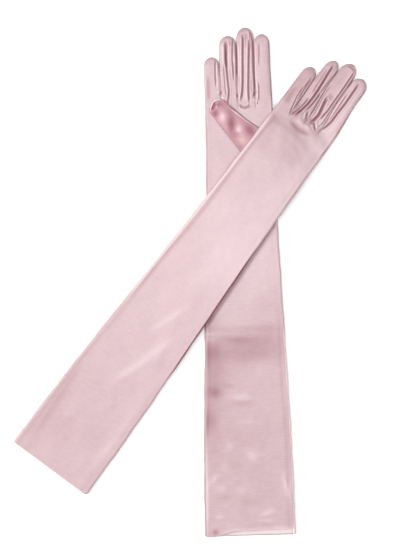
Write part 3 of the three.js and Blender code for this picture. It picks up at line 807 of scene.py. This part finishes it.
def make_seam(glove, side):
    """An oval carried from the opening to the knuckles. Its width tapers there, its height dips at each
    stitch by a cosine, and two sine waves let it wander a little."""
    reach = glove["reach"]
    s = np.unique(np.concatenate([np.arange(0, reach, 1.5 * MM), [0.3 * MM, reach]]))
    taper = mix(TAPER_TO, 1, smooth((reach + 1 * MM - s) / TAPER_ZONE))
    ends = np.clip(s / (0.5 * MM), 0, 1) ** 0.5
    stitch = 1 + 0.025 * np.cos(s * 2 * math.pi / STITCH)
    wide = WELT * taper * ends
    centre = side * (half_width(glove, s) - WELT * taper)
    top = thickness(glove, s, centre)
    middle = mix(top / 2, SEAM_LINE + 0.3 * MM, smooth((s - reach + KNUCKLE_ZONE) / KNUCKLE_ZONE))
    tall = top / 2 * 0.98 * mix(1, taper, taper < 0.99) * ends * stitch
    turn = np.linspace(0, 2 * math.pi, SEAM_POINTS + 1)[:-1]
    wander = 0.18 * MM * np.sin(s / MM / 9.0 + side) + 0.1 * MM * np.sin(s / MM / 3.7)
    t = (centre + wander)[:, None] - wide[:, None] * np.cos(turn)
    z = middle[:, None] + tall[:, None] * np.sin(turn)
    s = np.repeat(s[:, None], SEAM_POINTS, 1)
    uv = np.stack([np.broadcast_to(turn * 2, s.shape), s / MM], -1)
    name = f"{glove['side']}_{'outer' if side < 0 else 'inner'}_seam_cloth"
    painted_shading = seam_painted_shading(glove, side, s, t - centre[:, None])
    return surface(name, place(glove, s, t, z), uv, wrap=True, caps=("first", "last"), painted_shading=painted_shading)


for glove in GLOVES.values():
    glove["seams"] = {"outer": make_seam(glove, -1), "inner": make_seam(glove, 1)}
print("side seams", 4)

# %% [markdown]
# ## The fingers
# A finger is a front and a back with a strip let in down each side. Worked as one tube, it starts on the
# knuckle outline of the hand, narrows a little and closes in a round tip. The seam lines of its side strips
# are grooves of the relief, and the ribbed mask marks the strips. It is one closed tube.
# %% Fingers
# Where the five edges between and beside the fingers lie across the glove near the tips, in mm.
TIP_EDGES = {"right": (-37.3, -19.9, -0.6, 18.6, 35.8), "left": (-36.9, -20.6, -4.7, 13.8, 32.8)}
# Over which stretch, in mm along the glove, the valley at each of those edges grows to its full depth.
VALLEYS = {
    "right": ((473, 487), (500, 522), (492, 512), (476, 490), (473, 487)),
    "left": ((473, 487), (473, 490), (512, 538), (505, 530), (473, 487)),
}
# How much shorter than its hinge facts say each cloth finger is, little to index, in mm.
TRIMS = {"right": (-1.0, 0.0, -0.6, -1.0), "left": (-0.6, 3.2, 3.2, 1.8)}
TIP_SHARE = 1.3  # the round tip is this many half widths long
TIP_ROWS = 16
ROW_STEP = 1.25 * MM
BEND_ZONE = 52 * MM  # the edges reach their places near the tips over this stretch
TIP_ZONE = 5 * MM  # folds fade out over this last stretch


def finger_ring(glove, index):
    """A finger's outline at the knuckles, upper then lower: across, height of the flat cloth there, and
    height of the finger's own round top."""
    parts = []
    for columns, height, sign in ((PER_FINGER, HAND_HEIGHT - SEAM_LINE, 1), (UNDER, SEAM_LINE, -1)):
        t, z = knuckle_section(glove, columns)
        flat = flat_section(np.array([glove["palm_half"]]), columns * 4 + 1)[1][0]
        own = slice(index * columns, (index + 1) * columns + 1)
        rows = np.stack([t[own], sign * height * flat[own], sign * height * z[own]])
        parts.append(rows if sign > 0 else rows[:, ::-1][:, 1:-1])
    return np.concatenate(parts, axis=1)


print("points round a finger", finger_ring(GLOVES["right"], 0).shape[1])


# %% Making the fingers
def finger_rows(length, half):
    """Rows' distances from the knuckles, even at first and then following a sine round the tip, and how
    far into the tip each one is, from 0 to 1."""
    straight = length - half * TIP_SHARE
    turn = np.linspace(0, math.pi / 2, TIP_ROWS + 1)[:-1]
    even = np.linspace(0, straight, int(straight / ROW_STEP) + 1)[:-1]
    rows = np.concatenate([even, straight + (length - straight) * np.sin(turn)])
    return rows, np.clip((rows - straight) / (length - straight), 0, 1)


def roundness(side, index, s, x):
    """How far each point has gone from flat cloth to the finger's own round top. It grows along each edge
    of the finger, and is mixed straight across between the two."""
    at_edges = []
    for start, end in VALLEYS[side][index : index + 2]:
        at_edges.append(mix(VALLEY_SHARE[side], 1, smooth((s / MM - start) / (end - start)))[:, None])
    return mix(at_edges[0], at_edges[1], (x[None, :] + 1) / 2)


def make_finger(glove, index):
    """Rows run from the knuckle line to the tip. The outline shrinks to the tip along a quarter oval, and
    its thickness along a squarer one. The tip's rim gets painted shade."""
    finger, side = glove["fingers"][index], glove["side"]
    t0, flat, domed = finger_ring(glove, index)
    x = (t0 - (t0.max() + t0.min()) / 2) / ((t0.max() - t0.min()) / 2)
    length = finger["length"] - TRIMS[side][index] * MM
    rows, into = finger_rows(length, finger["half"])
    tips, bent = TIP_EDGES[side][index : index + 2], smooth(rows / BEND_ZONE)
    low, high = (mix(base, tip * MM, bent) for base, tip in zip((t0.min(), t0.max()), tips))
    width = (high - low) / 2 * np.sqrt(np.clip(1 - into**2, 0, 1))
    s = glove["reach"] + np.repeat(rows[:, None], len(x), 1)
    t = ((high + low) / 2)[:, None] + width[:, None] * x
    plump = np.clip(1 - into**2.6, 0.02, 1)[:, None] ** (1 / 2.6)
    z = SEAM_LINE + mix(flat, domed, roundness(side, index, s[:, 0], x)) * plump
    top = (np.arange(len(x)) <= PER_FINGER)[None, :]
    inside = np.where(top, 1 - np.abs(x) ** 6, 0) * smooth((length - rows) / TIP_ZONE)[:, None]
    fade = mix(np.where(top, 1, 0), inside, smooth(rows / TIP_ZONE)[:, None])
    height, painted_shading = cloth_fields(glove, s, t)
    z = z + height * fade
    z = np.where(top, np.maximum(z, SEAM_LINE * 0.7 * plump), z)
    rest = finger["base_z"] + finger["slope"] * (rows - finger["bend"])
    lift = mix(drape(glove, s, t), np.repeat(rest[:, None], len(x), 1), smooth(rows / (14 * MM))[:, None])
    points = place(glove, s, t, z + lift, lifted=False)
    # Painted shade round the fingertip's rim, added to the painted shading of lines and swells on the upper
    # side.
    painted_shading = np.clip(painted_shading * top + 0.7 * smooth((into - 0.86) / 0.13)[:, None], -1, 1)
    uv, name = np.stack([t, s], -1) / MM, f"{side}_{finger['name']}_cloth"
    return surface(name, points, uv, strips(glove, s, t), wrap=True, caps=("last",), painted_shading=painted_shading)


for glove in GLOVES.values():
    glove["finger_pieces"] = [make_finger(glove, i) for i in range(4)]
    print(glove["side"], "finger faces", [len(o.data.polygons) for o in glove["finger_pieces"]])

# %% [markdown]
# ## The thumbs
# The thumb is cut apart from the hand and set into a gusset at the palm's inner edge. Folded over, it is a
# flat tapered tube. Its outline is two edges, from the gusset's base past the crease to the round tip, and
# the surface is ruled between them. The right thumb rests on the palm, and the left one on the table.
# %% Thumbs
# The thumb's two edges from the gusset's base to the tip, as (along, across) on the glove in mm.
THUMB_LOW = {
    "right": [(372, 35), (385, 26), (404, 12.6), (421, 0.6), (436, -10.4), (447, -18.8), (457, -26),
              (465.5, -32), (468, -32.4), (471, -31.4), (474.5, -29.8), (477.5, -27.6), (479.3, -24.6)],
    "left": [(372, 35), (385, 25), (404, 12), (418, 1.2), (428, -9), (438, -19), (448, -27), (455, -31.4),
             (459, -32.4), (463, -31.6), (466.5, -29.6), (469, -27), (470.2, -24.4)],
}
THUMB_HIGH = {
    "right": [(436, 35.2), (441, 30), (446.4, 22), (450.6, 14.6), (455.4, 8), (462, 0.4), (468, -6),
              (472, -9.6), (474.6, -12), (476.6, -14.4), (478.2, -17), (479.2, -19.8), (479.4, -22.6)],
    "left": [(436, 35.2), (441, 29), (446, 21), (450, 14.6), (454, 7.6), (459, -1), (463.4, -8), (466.4, -12.6),
             (468.4, -15.6), (469.6, -17.8), (470.2, -19.6), (470.5, -21.2), (470.5, -22.8)],
}
THUMB_TURN = 7  # edge points before this one are straight sides, the rest round the tip
SIDE_ROWS = 73  # rows up to that point
ROUND_ROWS = 24  # rows round the tip
THUMB_RING = 72  # points round the thumb
TUCK_ROWS = 24  # over these first rows it comes out of the palm
TUCK_DEPTH = 2.2 * MM
# Lines on the right thumb: points on the glove, half width, height and painted shading, in mm.
THUMB_FOLDS = [
    ([(467, -31.4), (471.5, -30), (476, -28), (478.4, -25), (478.6, -21), (477, -16.6)], 0.9, 0.8, -1.0),
    ([(476, -25.6), (471.5, -27), (467.5, -29.6)], 1.4, -1.2, 0.8),
    ([(476, -22), (474, -17)], 2.2, -0.6, 0.45),
    ([(472.5, -24.5), (471, -23)], 1.2, 0.5, -0.4),
    ([(470, -11), (462, -0.8), (454, 9.4), (447.6, 19.6)], 0.8, 0.35, -0.8),
    ([(462, -26), (456, -22)], 2.6, -0.4, 0.3),
]
# Swells on it, with the same seven numbers each as the gloves' own swells; their painted shading gives the
# thumb's light and dark patches.
THUMB_SWELLS = [
    (460, -18.5, 6, 4.2, 0, 0.4, -0.4), (445.5, -0.5, 4.6, 4.2, -15, 0.4, -0.5),
    (434, 2, 3.5, 3.5, 0, 0.15, -0.15), (452, -8.5, 12, 4.4, 0, -0.5, 0.85), (440, -3, 3.2, 4.4, 0, -0.2, 0.3),
    (444, 12, 9, 5.5, -35, -0.5, 0.78), (463.5, -26, 5, 4, 0, -0.4, 0.8), (473, -18, 5, 6, 0, -0.2, 0.4),
    (433, -6, 6, 4, -30, -0.2, 0.25), (425, 0, 4, 4, 0, -0.2, 0.4), (457, 1, 6, 5, 0, 0.2, 0.16),
    (466, -12, 4, 5, 0, 0, 0.25),
]
print("folds on the thumb", len(THUMB_FOLDS), "swells", len(THUMB_SWELLS))


# %% Making the thumbs
def thumb_fields(s, t):
    """Height in metres and painted shading of the folded right thumb, at along s and across t in metres."""
    s, t = s / MM, t / MM
    none = np.zeros(s.shape)
    height, deep, pale = add_lines(s, t, THUMB_FOLDS, *add_swells(s, t, THUMB_SWELLS, none, none, none))
    return height * MM, np.clip(deep + pale * (1 - np.clip(deep, 0, 1)), -1, 1)


def along_line(points, count):
    """Points at even steps along a bent line."""
    points = np.array(points, float) * MM
    run = np.concatenate([[0], np.cumsum(np.hypot(*np.diff(points, axis=0).T))])
    at = np.linspace(0, run[-1], count)
    return np.stack([np.interp(at, run, points[:, k]) for k in (0, 1)], -1)


def thumb_edge(points):
    """Even steps up the straight side, then even, shorter ones round the tip."""
    side = along_line(points[: THUMB_TURN + 1], SIDE_ROWS + 1)[:-1]
    return np.vstack([side, along_line(points[THUMB_TURN:], ROUND_ROWS)])


def make_thumb(glove):
    """Rows from the gusset's base to the tip. Each row is a thin oval between one point of either edge,
    with a full lower edge and a sharper upper one, and the last rows close in on the tip."""
    side, thumb = glove["side"], glove["thumb"]
    low, high = thumb_edge(THUMB_LOW[side]), thumb_edge(THUMB_HIGH[side])
    ring = np.linspace(0, 2 * math.pi, THUMB_RING + 1)[:-1]
    u, v = -np.cos(ring), np.sin(ring)
    u = np.where(u > 0, np.abs(u) ** 0.5, u)
    spot = mix(low[:, None, :], high[:, None, :], ((u + 1) / 2)[None, :, None])
    s, t = spot[..., 0], spot[..., 1]
    row = np.arange(len(low))
    tuck = smooth(row / TUCK_ROWS)[:, None]
    into = np.clip((row - SIDE_ROWS) / (ROUND_ROWS - 1), 0, 1)
    plump = np.clip(1 - into**2.4, 0.12, 1)[:, None] ** 0.5
    half = THUMB_HEIGHT / 2
    fullness = mix(1.25, 0.5, smooth((u + 1) / 1.2))
    z = half + half * np.sign(v) * np.abs(v) ** fullness * plump * mix(0.5, 1, tuck)
    height, painted_shading = thumb_fields(s, t)
    if side == "left":
        height, painted_shading = height * 0, painted_shading * 0
    upper = np.where(v > 0, np.abs(v), 0)
    z = z + height * np.minimum(1, upper * 2.2) * tuck
    z = np.maximum(z, np.where(v > 0, 0.8 * MM * upper, 0))
    sink = (1 - tuck) * (TUCK_DEPTH if side == "right" else 0)
    points = place(glove, s, t, z + thumb["rest"] - sink, lifted=False)
    uv = np.stack([t / MM + 500, s / MM], -1)
    painted_shading = painted_shading * (upper > 0)
    return surface(f"{side}_thumb_cloth", points, uv, wrap=True, caps=("first", "last"), painted_shading=painted_shading)


for glove in GLOVES.values():
    glove["thumb_piece"] = make_thumb(glove)
    print(glove["side"], "thumb faces", len(glove["thumb_piece"].data.polygons))

# %% [markdown]
# ## Satin
# Stretch satin is a fine knit with long floats on its face. Three things make it look like satin: a broad
# soft highlight, a colour that varies in soft random patches, and a very fine line texture with faint slubs.
# The shared part is a node group that puts out a colour mask, a roughness mask and a height. The painted
# shading of each point turns the colour deeper and duller as painted shade in a fold, and paler as a painted
# highlight on edges and ridges.
# %% Node helper
def add_node(tree, kind, inputs, **settings):
    """A new shader node. Each input is given a number, or a link where it is given another's output."""
    made = tree.nodes.new("ShaderNode" + kind)
    for key, value in settings.items():
        setattr(made, key, value)
    for key, value in inputs.items():
        if isinstance(value, bpy.types.NodeSocket):
            tree.links.new(value, made.inputs[key])
        else:
            made.inputs[key].default_value = value
    return made


# %% Weave group
def weave_group():
    """Masks and height of satin in the cloth's own millimetres: lines along, ribs across, and mottling.
    Each is a weighted sum of noises stretched one way or the other."""
    tree = bpy.data.node_groups.new("satin_weave", "ShaderNodeTree")
    tree.interface.new_socket("Cloth", in_out="INPUT", socket_type="NodeSocketVector")
    tree.interface.new_socket("Ribs", in_out="INPUT", socket_type="NodeSocketFloat")
    for name in ("Mottle", "Lines", "Height"):
        tree.interface.new_socket(name, in_out="OUTPUT", socket_type="NodeSocketFloat")
    inside, outside = tree.nodes.new("NodeGroupInput"), tree.nodes.new("NodeGroupOutput")
    cloth = inside.outputs["Cloth"]

    def noise(scale, detail, stretch):
        """Noise over the cloth, squeezed by stretch across and along it."""
        spot = add_node(tree, "Mapping", {"Vector": cloth, "Scale": stretch}).outputs["Vector"]
        return add_node(tree, "TexNoise", {"Vector": spot, "Scale": scale, "Detail": detail}).outputs["Fac"]

    def maths(operation, a, b):
        """One sum or product of outputs or numbers."""
        return add_node(tree, "Math", {0: a, 1: b}, operation=operation).outputs[0]

    def weighted(*parts):
        """The sum of three outputs, each times its weight."""
        terms = [maths("MULTIPLY", output, weight) for output, weight in parts]
        return maths("ADD", maths("ADD", terms[0], terms[1]), terms[2])

    mottle = noise(0.05, 3, (1, 0.6, 1))
    slubs = noise(0.32, 2, (0.35, 1.6, 1))
    lines = noise(1.4, 2, (1.8, 0.12, 1))
    grain = noise(0.6, 3, (1, 1.3, 1))
    waves = {"Vector": cloth, "Scale": 0.16, "Distortion": 1.2, "Detail": 1}
    wave = add_node(tree, "TexWave", waves, bands_direction="Y")
    ribbed = maths("MULTIPLY", wave.outputs["Fac"], inside.outputs["Ribs"])
    tree.links.new(weighted((mottle, 0.32), (slubs, 0.34), (grain, 0.34)), outside.inputs["Mottle"])
    tree.links.new(lines, outside.inputs["Lines"])
    tree.links.new(weighted((lines, 0.25), (slubs, 0.5), (ribbed, 3.0)), outside.inputs["Height"])
    return tree


WEAVE = weave_group()
print("weave group sockets", [item.name for item in WEAVE.interface.items_tree])


# %% Satin materials
FOLD_SHADE_COLOUR = (0.19, 0.045, 0.066)  # painted shade, deep in folds, grooves and dark patches
PAINTED_HIGHLIGHT_COLOUR = (0.74, 0.58, 0.60)  # painted highlight on edges, ridges and pale patches
ROUGH_SPREAD = 0.06  # either way, by the lines of the weave
FOLD_DULLING = 0.45  # how much rougher the cloth is deep in a fold


def satin(name, light, deep, rough=0.42):
    """Principled cloth: colour from deep to light by the mottle, then towards the painted shade colour or the
    painted highlight colour by the painted shading, roughness by the lines and the painted shading, and bump
    by the height."""
    material = bpy.data.materials.new(name)
    material.use_nodes = True
    tree = material.node_tree
    shader = tree.nodes["Principled BSDF"]
    cloth = add_node(tree, "UVMap", {}, uv_map="cloth").outputs["UV"]
    ribs = add_node(tree, "Attribute", {}, attribute_name="ribs").outputs["Fac"]
    painted_shading = add_node(tree, "Attribute", {}, attribute_name="painted_shading").outputs["Fac"]
    weave = add_node(tree, "Group", {}, node_tree=WEAVE)
    tree.links.new(cloth, weave.inputs["Cloth"])
    tree.links.new(ribs, weave.inputs["Ribs"])
    ramp = add_node(tree, "ValToRGB", {"Fac": weave.outputs["Mottle"]})
    for stop, at, shade in zip(ramp.color_ramp.elements, (0.37, 0.63), (deep, light)):
        stop.position, stop.color = at, (*shade, 1)
    shade = ramp.outputs["Color"]
    for sign, target in ((1, FOLD_SHADE_COLOUR), (-1, PAINTED_HIGHLIGHT_COLOUR)):
        share = add_node(tree, "MapRange", {"Value": painted_shading, "From Min": 0, "From Max": sign}).outputs["Result"]
        inputs = {"Factor": share, "A": shade, "B": (*target, 1)}
        shade = add_node(tree, "Mix", inputs, data_type="RGBA").outputs["Result"]
    spread = {"To Min": rough - ROUGH_SPREAD, "To Max": rough + ROUGH_SPREAD}
    fine = add_node(tree, "MapRange", {"Value": weave.outputs["Lines"], **spread}).outputs["Result"]
    dull = add_node(tree, "MapRange", {"Value": painted_shading, "To Max": FOLD_DULLING}).outputs["Result"]
    rougher = add_node(tree, "Math", {0: fine, 1: dull}).outputs["Value"]
    relief = {"Strength": 0.12, "Distance": 0.5 * MM, "Height": weave.outputs["Height"]}
    bump = add_node(tree, "Bump", relief).outputs["Normal"]
    for socket, source in (("Base Color", shade), ("Roughness", rougher), ("Normal", bump)):
        tree.links.new(source, shader.inputs[socket])
    shader.inputs["Sheen Weight"].default_value = 0.12
    shader.inputs["Sheen Roughness"].default_value = 0.4
    shader.inputs["Specular IOR Level"].default_value = 0.5
    shader.inputs["IOR"].default_value = 1.8
    return material


SHELL = satin("satin_shell", (0.405, 0.266, 0.288), (0.345, 0.216, 0.239))
# The thumb's satin is a darker copy of the shell: painted shade standing in for the weaker sheen of its
# crosswise grain.
THUMB_SHADED_SATIN = satin("satin_thumb", (0.365, 0.160, 0.188), (0.305, 0.118, 0.146), rough=0.38)
# The seam's satin is a slightly paler copy of the shell: a painted highlight along the glove's edges.
SEAM = satin("seam_cloth", (0.425, 0.275, 0.30), (0.375, 0.235, 0.258), rough=0.5)
HEM = satin("hem_cloth", (0.53, 0.45, 0.46), (0.48, 0.40, 0.41), rough=0.5)
print("cloths", [cloth.name for cloth in (SHELL, THUMB_SHADED_SATIN, SEAM, HEM)])

# %% [markdown]
# ## Tying the cloth to the frame
# Each piece of cloth takes the place of its CAD nodes, which are hidden. The panels, hems and side seams
# move with their glove's body, and the fingers and thumbs have their placement baked into their meshes.
# %% Materials, hidden CAD nodes and rides
def dress(piece, material, nodes):
    """Gives a piece its material, and hides the CAD nodes it stands for."""
    piece.data.materials.append(material)
    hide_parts(*nodes)


# The strips let in down the two sides of each finger.
STRIPS = {
    "little": ("side_seam", "fourchette_to_ring"),
    "ring": ("fourchette_to_little", "fourchette_to_middle"),
    "middle": ("fourchette_to_ring", "fourchette_to_index"),
    "index": ("fourchette_to_middle", "side_seam"),
}
for side, glove in GLOVES.items():
    body = f"{side}_glove"
    faces = ("palm", "back") if side == "right" else ("back", "palm")
    dress(glove["upper"], SHELL, [f"{side}_{faces[0]}_panel"])
    dress(glove["lower"], SHELL, [f"{side}_{faces[1]}_panel"])
    for layer, hem in glove["hems"].items():
        dress(hem, HEM, [f"{side}_hem_{layer}"])
        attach(hem, body)
    for name, seam in glove["seams"].items():
        dress(seam, SEAM, [f"{side}_{name}_side_seam"])
        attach(seam, body)
    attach(glove["upper"], body)
    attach(glove["lower"], body)
    for layer, seam in (("upper", "inner"), ("lower", "outer")):
        under = [glove["lower"]] if layer == "upper" else ["floor"]
        if side == "left" and layer == "lower":
            under.append(GLOVES["right"]["upper"])
    for finger, piece in zip(glove["fingers"], glove["finger_pieces"]):
        stem = f"{side}_{finger['name']}"
        parts = ("front", "back", *STRIPS[finger["name"]])
        dress(piece, SHELL, [f"{stem}_{part}" for part in parts])
        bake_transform(piece)
    stem = f"{side}_thumb"
    parts = ("thumb_lower", "thumb_upper", "thumb_seam", "thumb_fold", "gusset_lower", "gusset_upper")
    dress(glove["thumb_piece"], THUMB_SHADED_SATIN, [f"{side}_{part}" for part in parts])
    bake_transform(glove["thumb_piece"])

# %% [markdown]
# ## Floor, light and camera
# The gloves lie on a plain white surface. A soft light from the left rakes across the satin, a larger one
# fills from above, and the pale surroundings lift the shadows. The camera looks straight down from well
# above, so the gloves keep their true outline.
# %% Floor
def make_floor():
    """A large flat square just under the gloves."""
    mesh = bpy.data.meshes.new("floor")
    r, z = 4.0, -0.2 * MM
    mesh.from_pydata([(-r, -r, z), (r, -r, z), (r, r, z), (-r, r, z)], [], [(0, 1, 2, 3)])
    made = put("floor", mesh)
    material = bpy.data.materials.new("white_table")
    material.use_nodes = True
    shader = material.node_tree.nodes["Principled BSDF"]
    shader.inputs["Base Color"].default_value = (0.93, 0.93, 0.93, 1)
    shader.inputs["Roughness"].default_value = 0.8
    shader.inputs["Specular IOR Level"].default_value = 0.1
    mesh.materials.append(material)
    return made


print("floor is", make_floor().dimensions.x, "m wide")


# %% Lights
def area_light(name, spot, size, energy):
    """A square soft light of so many metres and watts, turned to face the middle of the gloves: its pitch
    is the angle off straight down, and its yaw the direction in plan."""
    light = bpy.data.lights.new(name, "AREA")
    light.size, light.energy = size, energy
    made = put(name, light)
    made.location = spot
    x, y, z = -np.array(spot)
    made.rotation_euler = (math.acos(-z / math.hypot(x, y, z)), 0, math.atan2(y, x) - math.pi / 2)


area_light("key", (-1.9, 0.1, 1.45), 0.8, 46)
area_light("overhead", (0.0, 0.15, 2.9), 2.6, 83)
world = bpy.data.worlds.new("studio")
world.use_nodes = True
world.node_tree.nodes["Background"].inputs["Color"].default_value = (1, 1, 1, 1)
world.node_tree.nodes["Background"].inputs["Strength"].default_value = 0.33
bpy.context.scene.world = world
bpy.context.scene.view_settings.view_transform = "Standard"
print("lights, W", {light.name: light.energy for light in bpy.data.lights})

# %% Camera
VIEW_HEIGHT = 0.616  # metres of table that the view takes in, from bottom to top
LENS, SENSOR = 100, 36
ASIDE = np.array([19.9, 2.5]) * MM  # the view's middle lies this far from the gloves'
camera_data = bpy.data.cameras.new("camera")
camera_data.lens, camera_data.sensor_width, camera_data.sensor_fit = LENS, SENSOR, "AUTO"
camera = put("camera", camera_data)
low, high = CAD_BOX
centre = (np.array(low) + np.array(high))[:2] / 2 + ASIDE
camera.location = (*centre, VIEW_HEIGHT * LENS / SENSOR)
bpy.context.scene.camera = camera
print("camera height", round(camera.location.z, 3))
